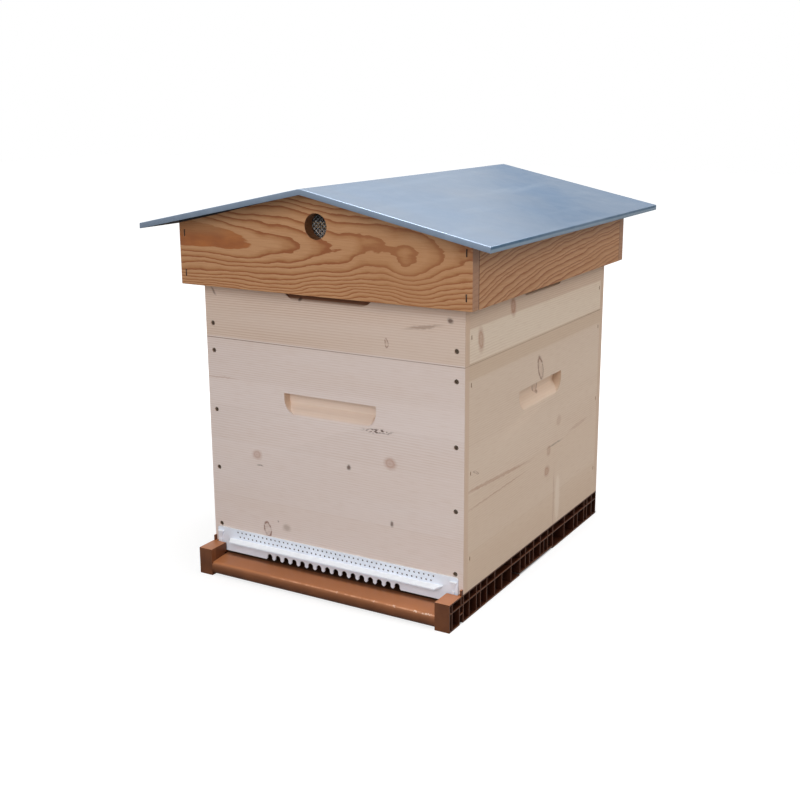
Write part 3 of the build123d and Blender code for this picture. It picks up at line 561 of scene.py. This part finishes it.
for box, (lowest, step, count) in screw_rows.items():
    sizes = dict(screw_sizes, Lowest=lowest * mm, Step=step * mm, Count=count)
    tree, size = sized_tree(box + "_screws", sizes)
    head = shape(tree, "MeshCylinder", {"Vertices": size["Head sides"], "Radius": size["Head radius"],
                                        "Depth": size["Head height"]})
    star = shape(tree, "CurveStar", {"Points": size["Recess points"], "Inner Radius": size["Recess inner"],
                                     "Outer Radius": size["Recess outer"]})
    half = calc(tree, "MULTIPLY", size["Head height"], 0.5)
    pit = vector(tree, z=calc(tree, "SUBTRACT", half, size["Recess depth"]))
    core = shape(tree, "CurvePrimitiveLine", {"Start": pit, "End": vector(tree, z=size["Head height"])})
    cut = shape(tree, "MeshBoolean", {"Mesh 1": head, "Mesh 2": swept(tree, core, star)})
    shank = shape(tree, "MeshCylinder", {"Vertices": size["Shank sides"], "Radius": size["Shank radius"],
                                         "Depth": size["Shank length"]})
    drop = calc(tree, "MULTIPLY_ADD", size["Shank length"], -0.5, calc(tree, "MULTIPLY", half, -1.0))
    shank = shape(tree, "Transform", {"Geometry": shank, "Translation": vector(tree, z=drop)})
    depth = calc(tree, "MULTIPLY_ADD", size["Face"], -1.0, half)
    spread = {"Min": 0.0, "Max": size["Most spin"], "Seed": size["Spin seed"]}
    spin = add(tree, "FunctionNodeRandomValue", spread, data_type="FLOAT").outputs["Value"]
    rows = corner_rows(tree, size, depth, joined(tree, [cut, shank]), math.pi / 2, spin)
    close_tree(tree, rows, screw_steel)
    mesh = grown(box + "_screw_heads", tree, sizes)
    place_piece(box + "_screws", mesh, screw_steel, box + "_box", box + "_corner_screws")


# Corner brads. Flat-headed steel brads shot through the side boards into the ends of the front and back
# boards. The solids stay as they are and take a dull, darkened steel.
brad_dull = (66, 52, 44)
brad_dark = (40, 30, 25)


def dress(node, material):
    """Gives a CAD node that stays as it is a better material."""
    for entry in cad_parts[node].material_slots:
        entry.material = material


brad_steel = steel("brad_steel", brad_dull, brad_dark, 700.0, 0.6, (0.4, 0.65))
for box in ("brood", "super"):
    dress(box + "_corner_brads", brad_steel)


# Rest strips and spacers. Folded strips of galvanised sheet in the rebates of the end walls: plain ones that
# the brood frames slide on, and toothed ones that keep the super frames a set distance apart.
zinc_grey = (178, 184, 188)
zinc_dark = (146, 152, 158)

zinc, tree, surface, place = finish("zinc_strip")
spangle = add(tree, "ShaderNodeTexVoronoi", {"Vector": place, "Scale": 160.0}).outputs["Color"]
feed(tree, surface, {"Base Color": tint(tree, spangle, zinc_grey, zinc_dark), "Metallic": 0.9,
                     "Roughness": fade(tree, noise(tree, place, 60.0), 0.3, 0.7, 0.3, 0.5)})
for node in ("brood_front_rest_strip", "brood_back_rest_strip", "super_front_spacer", "super_back_spacer"):
    dress(node, zinc)


# Frames. Planed pine bars, four to a frame, nailed together: a top bar whose lugs hang in the rebates, two
# side bars and a bottom bar. Ten deep ones stand in the brood box and nine shallow ones in the super.
pine_light = (222, 186, 138)
pine_dark = (192, 146, 96)
pine_pale = (232, 204, 164)


def pine(name, colours, line_noise, shade_noise, veil, smoothest, groove):
    """Planed pine: fine lines of two colours, with broad shades of a third laid over them as a veil."""
    material, tree, surface, place = finish(name)
    lines = noise(tree, place, *line_noise, 4.0)
    shades = noise(tree, place, *shade_noise, 2.0)
    colour = tint(tree, fade(tree, lines, 0.35, 0.7), colours[0], colours[1])
    colour = tint(tree, fade(tree, shades, *veil), colour, colours[2])
    feed(tree, surface, {"Base Color": colour, "Roughness": fade(tree, lines, 0.3, 0.8, smoothest, 0.7)})
    relief(tree, surface, lines, groove)
    return material


frame_wood = pine("frame_pine", (pine_light, pine_dark, pine_pale), (260.0, (1.0, 0.05, 0.35)),
                  (23.0, (1.0, 0.05, 0.1)), (0.35, 0.7, 0.0, 0.45), 0.5, 0.1 * mm)
for box, frames in (("brood", 10), ("super", 9)):
    for number in range(1, frames + 1):
        dress(f"{box}_frame_{number:02d}", frame_wood)


# Wax sheets. Pressed beeswax foundation in the groove of each frame, embossed with hexagonal cell bases
# 5.3 mm apart, slightly clouded.
cell_pitch = 5.3 * mm
wax_yellow = (232, 190, 96)
wax_pale = (240, 210, 136)
wax_bright = (250, 226, 164)

wax, tree, surface, place = finish("beeswax")
where = axes(tree, place)
bumps = 0.0
for turn in (0.0, 60.0, 120.0):
    reach = calc(tree, "MULTIPLY_ADD", where[1], math.cos(math.radians(turn)),
                 calc(tree, "MULTIPLY", where[2], math.sin(math.radians(turn))))
    wave = calc(tree, "COSINE", calc(tree, "MULTIPLY", reach, 4.0 * math.pi / (math.sqrt(3.0) * cell_pitch)))
    bumps = calc(tree, "ADD", bumps, wave)
cloud = noise(tree, place, 30.0, detail=4.0)
colour = tint(tree, fade(tree, cloud, 0.3, 0.7), wax_yellow, wax_pale)
colour = tint(tree, fade(tree, bumps, 0.0, -1.4, 0.0, 0.4), colour, wax_bright)
feed(tree, surface, {"Base Color": colour, "Roughness": 0.42})
relief(tree, surface, bumps, 0.35 * mm)
dress("brood_wax_sheets", wax)
dress("super_wax_sheets", wax)


# Crown board. A flat pine board that closes the super. It lies loose on the walls, and the roof cleats stand
# on it.
crown_edge = 0.8 * mm
crown_light = (224, 196, 158)
crown_dark = (196, 158, 116)
crown_warm = (206, 172, 132)

crown_wood = pine("crown_pine", (crown_light, crown_dark, crown_warm), (150.0, (1.0, 0.04, 1.0)),
                  (9.0, (1.0, 0.1, 1.0)), (0.4, 0.7, 0.0, 0.4), 0.52, 0.12 * mm)
eased("crown_board", crown_edge, crown_wood, "crown")


# Roof boards. Two gables and two side boards of reddish larch, 18 mm thick and flat-sawn, so the rings show
# as wide pointed tongues with narrow dark latewood lines. They are butted at the corners and stapled. A dark
# line shows at the butted corners. A painted shadow line lies on the gables just under the sheet, and the
# walls of the bored vents carry painted shade.
board_edge = 0.8 * mm
larch_early = (190, 141, 99)
larch_mid = (172, 120, 76)
larch_late = (144, 83, 42)
larch_heart = (168, 100, 48)
larch_end = (160, 119, 93)
larch_gap = (70, 46, 34)
eave_painted_shadow = (26, 17, 12)
eave_slope = math.tan(math.radians(11.9))
roof_reach = 0.30
heart_span = 100 * mm
sap_from = -120 * mm
sap_to = -190 * mm
board_end = 256 * mm
roof_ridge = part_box("roof_front_gable")[1].z
bore_painted_shade = (112, 69, 36)
bore_radius = 17.5 * mm
bore_height = sum(corner.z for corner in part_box("roof_front_vent_mesh")) / 2
ring_shades = [(0.0, larch_early), (0.35, larch_early), (0.68, larch_mid), (0.86, larch_late),
               (0.96, larch_late), (1.0, larch_early)]
gable_rings = [0, 20, 28, 35, 41, 49, 54, 58.5, 63, 66.5, 70, 74, 78, 83, 88, 94, 100]
board_rings = [5.2 * number + 1.3 * math.sin(1.9 * number) for number in range(46)]
front_hearts = [(-300, 2, 4), (-240, 5, 4), (-180, 13, 2), (-113, 20, -3), (-27, 28, -3), (0, 32.6, -3),
                (23, 35, -3), (50, 36.4, 2), (66, 38.3, 6), (78, 39.3, 7), (96, 39.6, 6), (108, 40.1, 4),
                (117, 40.6, 0), (124, 40.5, -4), (131, 39.4, -6), (138, 38.9, -7), (147, 39.6, -6),
                (160, 41.4, -4), (177, 45, -2), (198, 49, -1), (240, 54, 0), (300, 60, 0)]
back_hearts = [(-300, 42, 0), (-120, 30, 4), (-20, 12, -3), (60, 4, 0), (150, 20, 5), (300, 48, 0)]
left_hearts = [(-300, 62, 0), (-120, 54, 0), (0, 64, 0), (140, 52, 0), (300, 62, 0)]
right_hearts = [(-300, 95, 0), (-100, 64, 0), (100, 46, 0), (300, 40, 0)]


def curve(tree, value, points):
    """A smooth curve through (value, result) points."""
    node = add(tree, "ShaderNodeFloatCurve", {"Value": value})
    line = node.mapping.curves[0]
    while len(line.points) < len(points):
        line.points.new(0.5, 0.5)
    for point, spot in zip(line.points, points):
        point.location = spot
        point.handle_type = "AUTO_CLAMPED"
    node.mapping.update()
    return node.outputs[0]


def larch(name, along, heart, slope, hearts, rings, phase, wave=1.0):
    """Flat-sawn larch: rings at set distances from the tree's heart, whose depth behind the face varies."""
    material, tree, surface, place = finish(name)
    where = axes(tree, place)
    run = where[along]
    slow = stretched(along, 0.45)
    shift = (phase, phase, phase)
    sway = swing(tree, place, 15.0, slow, 2.0, shift)
    share = calc(tree, "MULTIPLY_ADD", run, 0.5 / roof_reach, 0.5)
    spots = [0.5 + 0.5 * spot * mm / roof_reach for spot, depth, lift in hearts]
    depths = [depth * mm / heart_span for spot, depth, lift in hearts]
    lifts = [0.5 + lift * mm / heart_span for spot, depth, lift in hearts]
    deep = calc(tree, "MULTIPLY", curve(tree, share, list(zip(spots, depths))), heart_span)
    lifted = curve(tree, share, list(zip(spots, lifts)))
    lifted = calc(tree, "MULTIPLY_ADD", lifted, heart_span, -0.5 * heart_span)
    level = calc(tree, "MULTIPLY_ADD", sway, 22 * mm * wave, where[2])
    level = calc(tree, "SUBTRACT", level, calc(tree, "MULTIPLY_ADD", run, slope, heart))
    near = fade(tree, calc(tree, "ABSOLUTE", level), 12 * mm, 52 * mm, 1.0, 0.1)
    level = calc(tree, "SUBTRACT", level, calc(tree, "MULTIPLY", lifted, near))
    level = calc(tree, "MINIMUM", level, calc(tree, "MULTIPLY", level, 0.85))
    ragged = swing(tree, place, 42.0, slow, 3.0, shift)
    streaks = swing(tree, place, 260.0, stretched(along, 0.12), 3.0, shift)
    fine = swing(tree, place, 150.0, slow, 3.0, shift)
    far = length(tree, vector(tree, level, deep))
    far = calc(tree, "MULTIPLY_ADD", streaks, calc(tree, "MULTIPLY", near, 1.6 * mm), far)
    far = calc(tree, "MULTIPLY_ADD", ragged, 6 * mm * wave, calc(tree, "MULTIPLY_ADD", fine, 1.6 * mm, far))
    outermost = len(rings) - 1
    ring_steps = [(radius / rings[-1], number / outermost) for number, radius in enumerate(rings)]
    count = curve(tree, calc(tree, "DIVIDE", far, rings[-1] * mm), ring_steps)
    count = calc(tree, "MULTIPLY", count, outermost)
    part = calc(tree, "FRACT", count)
    fibre = noise(tree, place, 800.0, stretched(along, 0.04), 3.0, shift)
    cloud = noise(tree, place, 10.0, slow, 3.0, shift)
    solid = tint(tree, fade(tree, ragged, -0.15, 0.2), larch_heart, larch_late)
    sapwood = product(tree, fade(tree, level, -4 * mm, 10 * mm), fade(tree, run, sap_from, sap_to, 0.15, 0.8))
    solid = tint(tree, sapwood, solid, larch_mid)
    colour = tint(tree, fade(tree, count, 1.03, 0.97), ramp(tree, part, ring_shades), solid)
    colour = tint(tree, fade(tree, fibre, 0.4, 0.75, 0.0, 0.25), colour, larch_late)
    colour = tint(tree, fade(tree, cloud, 0.4, 0.75, 0.0, 0.35), colour, larch_mid)
    end = fade(tree, calc(tree, "ABSOLUTE", facing_axes(tree)[along]), 0.6, 0.9, 0.0, 0.75)
    colour = tint(tree, end, colour, larch_end)
    aside = calc(tree, "ABSOLUTE", run)
    if along == 1:
        gap = fade(tree, aside, board_end - 1.4 * mm, board_end - 0.6 * mm, 0.0, 0.7)
        colour = tint(tree, gap, colour, larch_gap)
    else:
        # Painted shadow: a dark line on the gables just under the sheet.
        below = calc(tree, "MULTIPLY_ADD", aside, eave_slope, where[2])
        below = calc(tree, "SUBTRACT", roof_ridge, below)
        painted_eave_shadow = calc(tree, "SUBTRACT", fade(tree, aside, 50 * mm, 210 * mm, 5.6 * mm, 8.8 * mm), below)
        colour = tint(tree, fade(tree, painted_eave_shadow, -0.4 * mm, 0.4 * mm), colour, eave_painted_shadow)
        # Painted shade on the walls of the bored vent.
        out = length(tree, vector(tree, run, calc(tree, "SUBTRACT", where[2], bore_height)))
        painted_hole_shade = fade(tree, out, bore_radius + 0.6 * mm, bore_radius + 0.1 * mm)
        colour = tint(tree, painted_hole_shade, colour, bore_painted_shade)
    feed(tree, surface, {"Base Color": colour, "Roughness": fade(tree, fibre, 0.3, 0.8, 0.45, 0.62)})
    relief(tree, surface, calc(tree, "MULTIPLY_ADD", part, -0.4, fibre), 0.12 * mm)
    return material


roof_woods = {
    "roof_front_gable": larch("larch_front", 0, 509 * mm, 0.0, front_hearts, gable_rings, 1.3),
    "roof_back_gable": larch("larch_back", 0, 500 * mm, 0.02, back_hearts, gable_rings, 6.2),
    "roof_left_board": larch("larch_left", 1, 392 * mm, 0.08, left_hearts, board_rings, 9.4, 0.7),
    "roof_right_board": larch("larch_right", 1, 360 * mm, 0.06, right_hearts, board_rings, 4.1, 0.7)}
for node, wood in roof_woods.items():
    eased(node, board_edge, wood, "roof")


# Ridge batten and cleats. Sawn softwood inside the roof: the batten carries the fold of the sheet, and the
# four cleats stop the roof on the crown board. They take the crown board's wood.
for node in ("roof_ridge_batten", "roof_front_left_cleat", "roof_front_right_cleat", "roof_back_left_cleat",
             "roof_back_right_cleat"):
    dress(node, crown_wood)


# Roof staples. Wide-crown steel staples shot through the gables into the side boards, two at each corner,
# driven almost flush with the wood.
staple_dull = (72, 60, 52)
staple_dark = (40, 30, 24)
staple_sizes = {"Crown": 10.0 * mm, "Leg": 30.0 * mm, "Wire": 0.8 * mm, "Wire sides": 8, "Bend": 1.0 * mm,
                "Face": 273.5 * mm, "Half spacing": 228.0 * mm, "Lowest": 458.0 * mm, "Step": 57.4 * mm,
                "Count": 2}

staple_steel = steel("staple_steel", staple_dull, staple_dark, 800.0, 0.7, (0.4, 0.6))

tree, size = sized_tree("roof_staples", staple_sizes)
half = calc(tree, "MULTIPLY", size["Crown"], 0.5)
lower = calc(tree, "MULTIPLY", half, -1.0)
corners = [(size["Leg"], half), (0.0, half), (0.0, lower), (size["Leg"], lower)]
bend = add(tree, "GeometryNodeIndexSwitch", {"Index": shape(tree, "InputIndex")}, data_type="VECTOR")
while len(bend.index_switch_items) < len(corners):
    bend.index_switch_items.new()
for number, (inward, up) in enumerate(corners):
    feed(tree, bend, {str(number): vector(tree, 0.0, inward, up)})
path = shape(tree, "MeshLine", {"Count": len(corners)})
path = shape(tree, "SetPosition", {"Geometry": path, "Position": bend.outputs[0]})
path = shape(tree, "MeshToCurve", {"Mesh": path})
path = shape(tree, "FilletCurve", {"Curve": path, "Radius": size["Bend"]})
section = shape(tree, "CurvePrimitiveCircle", {"Resolution": size["Wire sides"], "Radius": size["Wire"]})
depth = calc(tree, "MULTIPLY", size["Face"], -1.0)
close_tree(tree, corner_rows(tree, size, depth, swept(tree, path, section)), staple_steel)
mesh = grown("roof_staple_wires", tree, staple_sizes)
place_piece("roof_staple_wires", mesh, staple_steel, "roof", "roof_staples")


# Vent meshes. A disc of woven galvanised wire behind each gable's ventilation hole keeps robber bees out. It
# lies against the inside of the gable.
wire_grey = (126, 128, 130)
wire_dark = (62, 62, 64)
mesh_sizes = {"Radius": 21.5 * mm, "Pitch": 3.3 * mm, "Wire": 0.62 * mm, "Wire sides": 6, "Wave": 0.6 * mm,
              "Wires": 14, "Steps": 84}

wire_steel = steel("vent_wire", wire_grey, wire_dark, 500.0, 0.9, (0.22, 0.34))

tree, size = sized_tree("vent_weave", mesh_sizes)
left = calc(tree, "MULTIPLY", size["Radius"], -1.0)
gap = calc(tree, "DIVIDE", calc(tree, "MULTIPLY", size["Radius"], 2.0), size["Steps"])
path = shape(tree, "MeshLine", {"Count": calc(tree, "ADD", size["Steps"], 1.0),
                                "Start Location": vector(tree, left), "Offset": vector(tree, gap)})
spot = shape(tree, "InputPosition")
angle = calc(tree, "DIVIDE", calc(tree, "MULTIPLY", axes(tree, spot)[0], math.pi), size["Pitch"])
lift = calc(tree, "MULTIPLY", calc(tree, "COSINE", angle), size["Wave"])
path = shape(tree, "SetPosition", {"Geometry": path, "Offset": vector(tree, z=lift)})
middle = calc(tree, "MULTIPLY", calc(tree, "SUBTRACT", size["Wires"], 1.0), -0.5)
first = vector(tree, y=calc(tree, "MULTIPLY", middle, size["Pitch"]))
points = shape(tree, "MeshLine", {"Count": size["Wires"], "Start Location": first,
                                  "Offset": vector(tree, y=size["Pitch"])})
odd = calc(tree, "MODULO", shape(tree, "InputIndex"), 2.0)
flipped = vector(tree, 1.0, 1.0, calc(tree, "MULTIPLY_ADD", odd, -2.0, 1.0))
wires = shape(tree, "InstanceOnPoints", {"Points": points, "Instance": path, "Scale": flipped})
wires = shape(tree, "RealizeInstances", {0: wires})
flat = add(tree, "ShaderNodeVectorMath", {0: spot, 1: (1.0, 1.0, 0.0)}, operation="MULTIPLY").outputs[0]
outside = calc(tree, "GREATER_THAN", length(tree, flat), size["Radius"])
wires = shape(tree, "DeleteGeometry", {"Geometry": wires, "Selection": outside})
wires = shape(tree, "MeshToCurve", {"Mesh": wires})
section = shape(tree, "CurvePrimitiveCircle", {"Resolution": size["Wire sides"], "Radius": size["Wire"]})
weft = swept(tree, wires, section)
warp = shape(tree, "Transform", {"Geometry": weft, "Rotation": (0, 0, math.pi / 2),
                                 "Scale": (1.0, 1.0, -1.0)})
close_tree(tree, [weft, warp], wire_steel)
thick = mesh_sizes["Wire"] + mesh_sizes["Wave"]
for side in ("front", "back"):
    node = f"roof_{side}_vent_mesh"
    low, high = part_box(node)
    mesh = grown(node + "_wires", tree, mesh_sizes)
    middle = (low + high) / 2
    middle.y = low.y + thick if side == "front" else high.y - thick
    mesh.transform(Matrix.Translation(middle) @ Matrix.Rotation(math.pi / 2, 4, "X"))
    place_piece(node + "_wires", mesh, wire_steel, "roof", node)


# Roof sheet. One galvanised steel sheet, 0.8 mm thick, bent over the ridge and folded down into a lip on all
# four sides. It rests on the gables and the ridge batten. Its skin is faintly spangled, wavy and bluish.
# Painted shade darkens it towards the back and the eaves, on the end lips and in a band below the fold of the
# side lips, and a painted highlight runs along the end folds.
fold_round = 1.1 * mm
ridge_round = 3.0 * mm
sheet_smooth = 32.0
edge_slack = 0.4 * mm
ridge_slack = 0.2 * mm
sheet_blue = (134, 148, 166)
sheet_grey = (124, 140, 160)
sheet_painted_far_shade = (84, 112, 142)
sheet_lip_painted_shade = (122, 136, 154)
sheet_bright = (160, 173, 188)
side_lip = (132, 150, 166)
side_lip_painted_shade = (56, 88, 114)
fold_painted_highlight = (160, 175, 194)
low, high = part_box("roof_sheet")

metal, tree, surface, place = finish("galvanised_sheet")
where = axes(tree, place)
facing = facing_axes(tree)
sideways = calc(tree, "ABSOLUTE", facing[0])
endways = calc(tree, "ABSOLUTE", facing[1])
spangle = add(tree, "ShaderNodeTexVoronoi", {"Vector": place, "Scale": 70.0}).outputs["Color"]
cloud = noise(tree, place, 6.0, detail=4.0)
streak = noise(tree, place, 30.0, (1.0, 0.12, 1.0), 3.0)
colour = tint(tree, fade(tree, cloud, 0.3, 0.7), sheet_blue, sheet_grey)
# Painted shade, darker towards the back and the eaves.
rearward = calc(tree, "MULTIPLY_ADD", where[1], 0.8, calc(tree, "ABSOLUTE", where[0]))
colour = tint(tree, fade(tree, rearward, 0.04, 0.28), colour, sheet_painted_far_shade)
# Painted shade on the end lips.
colour = tint(tree, fade(tree, endways, 0.5, 0.85), colour, sheet_lip_painted_shade)
# Painted shade in a band below the fold of the side lips.
painted_side_lip_band = tint(tree, fade(tree, where[2], low.z + 3 * mm, low.z + 5.5 * mm), side_lip, side_lip_painted_shade)
colour = tint(tree, fade(tree, sideways, 0.5, 0.85), colour, painted_side_lip_band)
# Painted highlight along the end folds.
painted_fold_highlight = product(tree, fade(tree, endways, 0.15, 0.35), fade(tree, facing[2], 0.35, 0.55))
colour = tint(tree, painted_fold_highlight, colour, fold_painted_highlight)
colour = tint(tree, calc(tree, "MULTIPLY", spangle, 0.10), colour, sheet_bright)
colour = tint(tree, fade(tree, streak, 0.5, 0.75, 0.0, 0.2), colour, sheet_bright)
feed(tree, surface, {"Base Color": colour, "Metallic": 0.85,
                     "Roughness": fade(tree, cloud, 0.3, 0.7, 0.38, 0.5)})
relief(tree, surface, noise(tree, place, 14.0, detail=2.0), 1.2 * mm, 0.5)

mesh, work = clean_mesh("roof_sheet")
ridge = [line for line in work.edges if all(v.co.z > high.z - ridge_slack for v in line.verts)]
round_over(work, ridge, ridge_round, 6)
folds = []
for line in work.edges:
    ups = sorted(face.normal.z for face in line.link_faces)
    middle = (line.verts[0].co + line.verts[1].co) / 2
    outer = abs(middle.x) > high.x - edge_slack or abs(middle.y) > high.y - edge_slack
    if len(ups) == 2 and ups[1] > 0.9 and abs(ups[0]) < 0.3 and outer:
        folds.append(line)
round_over(work, folds, fold_round, 3)
keep_shape(mesh, work, sheet_smooth)
place_piece("roof_sheet_folded", mesh, metal, "roof", "roof_sheet")


# Stage. A plain pale floor under the hive, white to the camera but still taking the hive's soft shadow, in a
# white surround. One wide soft lamp stands in front, one at the right towards the rear, and the strongest
# hangs above the roof.
floor_half = 9.0
floor_grey = 0.36
near_glow = 0.72
far_glow = 1.0
glow_from = 0.45
glow_to = 1.3
surround = 0.18
shade_half = (0.211, 0.255)
shade_edge = 6 * mm
lamps = [("key_lamp", (0.8, -3.0, 1.7), 2.4, 57.0), ("side_lamp", (2.8, 1.2, 2.0), 2.0, 39.5),
         ("top_lamp", (0.2, -0.1, 3.4), 2.4, 100.0)]
aim = Vector((0.0, 0.0, 0.28))

ground = bpy.data.meshes.new("ground")
ground.from_pydata([(-floor_half, -floor_half, 0), (floor_half, -floor_half, 0), (floor_half, floor_half, 0),
                    (-floor_half, floor_half, 0)], [], [(0, 1, 2, 3)])
pale, tree, surface, place = finish("pale_floor")
tree.nodes.remove(surface)
matt = add(tree, "ShaderNodeBsdfDiffuse", {"Color": (floor_grey, floor_grey, floor_grey, 1.0)}).outputs[0]
seen = add(tree, "ShaderNodeLightPath").outputs["Is Camera Ray"]
glow = fade(tree, length(tree, place), glow_from, glow_to, near_glow, far_glow)
where = axes(tree, place)
under = [fade(tree, calc(tree, "ABSOLUTE", where[axis]), half + shade_edge, half)
         for axis, half in enumerate(shade_half)]
level = product(tree, seen, glow, calc(tree, "SUBTRACT", 1.0, product(tree, *under)))
glow = add(tree, "ShaderNodeEmission", {"Strength": level}).outputs[0]
both = add(tree, "ShaderNodeAddShader", {0: matt, 1: glow}).outputs[0]
feed(tree, tree.nodes["Material Output"], {"Surface": both})
ground.materials.append(pale)
put("ground", ground)

world = bpy.data.worlds.new("studio")
scene.world = world
world.use_nodes = True
tree = world.node_tree
rays = add(tree, "ShaderNodeLightPath").outputs
shown = calc(tree, "MAXIMUM", rays["Is Camera Ray"],
             calc(tree, "MAXIMUM", rays["Is Glossy Ray"], rays["Is Transmission Ray"]))
level = calc(tree, "MULTIPLY_ADD", shown, 1.0 - surround, surround)
feed(tree, tree.nodes["Background"], {"Color": (1.0, 1.0, 1.0, 1.0), "Strength": level})

for name, spot, width, power in lamps:
    lamp = bpy.data.lights.new(name, "AREA")
    lamp.shape = "DISK"
    lamp.size = width
    lamp.energy = power
    holder = put(name, lamp)
    holder.location = spot
    holder.rotation_euler = (aim - Vector(spot)).to_track_quat("-Z", "Y").to_euler()


# Camera. It stands in front and to the right, a little above the roof's height, and looks slightly down. The
# shifts set the hive in the picture where the photograph has it.
view_azimuth = math.radians(29.46)
view_elevation = math.radians(14.14)
view_roll = math.radians(-0.07)
view_distance = 1.87278
view_target = Vector((0.00482, 0.0, 0.25445))
sensor_width = 36.0
focal_length = 52.864
view_shift = (-0.0240, -0.0158)

camera = bpy.data.cameras.new("camera")
camera.sensor_width = sensor_width
camera.lens = focal_length
camera.shift_x, camera.shift_y = view_shift
turned = (Matrix.Rotation(view_azimuth, 4, "Z") @ Matrix.Rotation(math.pi / 2 - view_elevation, 4, "X")
          @ Matrix.Rotation(view_roll, 4, "Z"))
viewer = put("camera", camera)
viewer.matrix_world = Matrix.Translation(view_target) @ turned @ Matrix.Translation((0, 0, view_distance))
scene.camera = viewer
scene.view_settings.view_transform = "Standard"
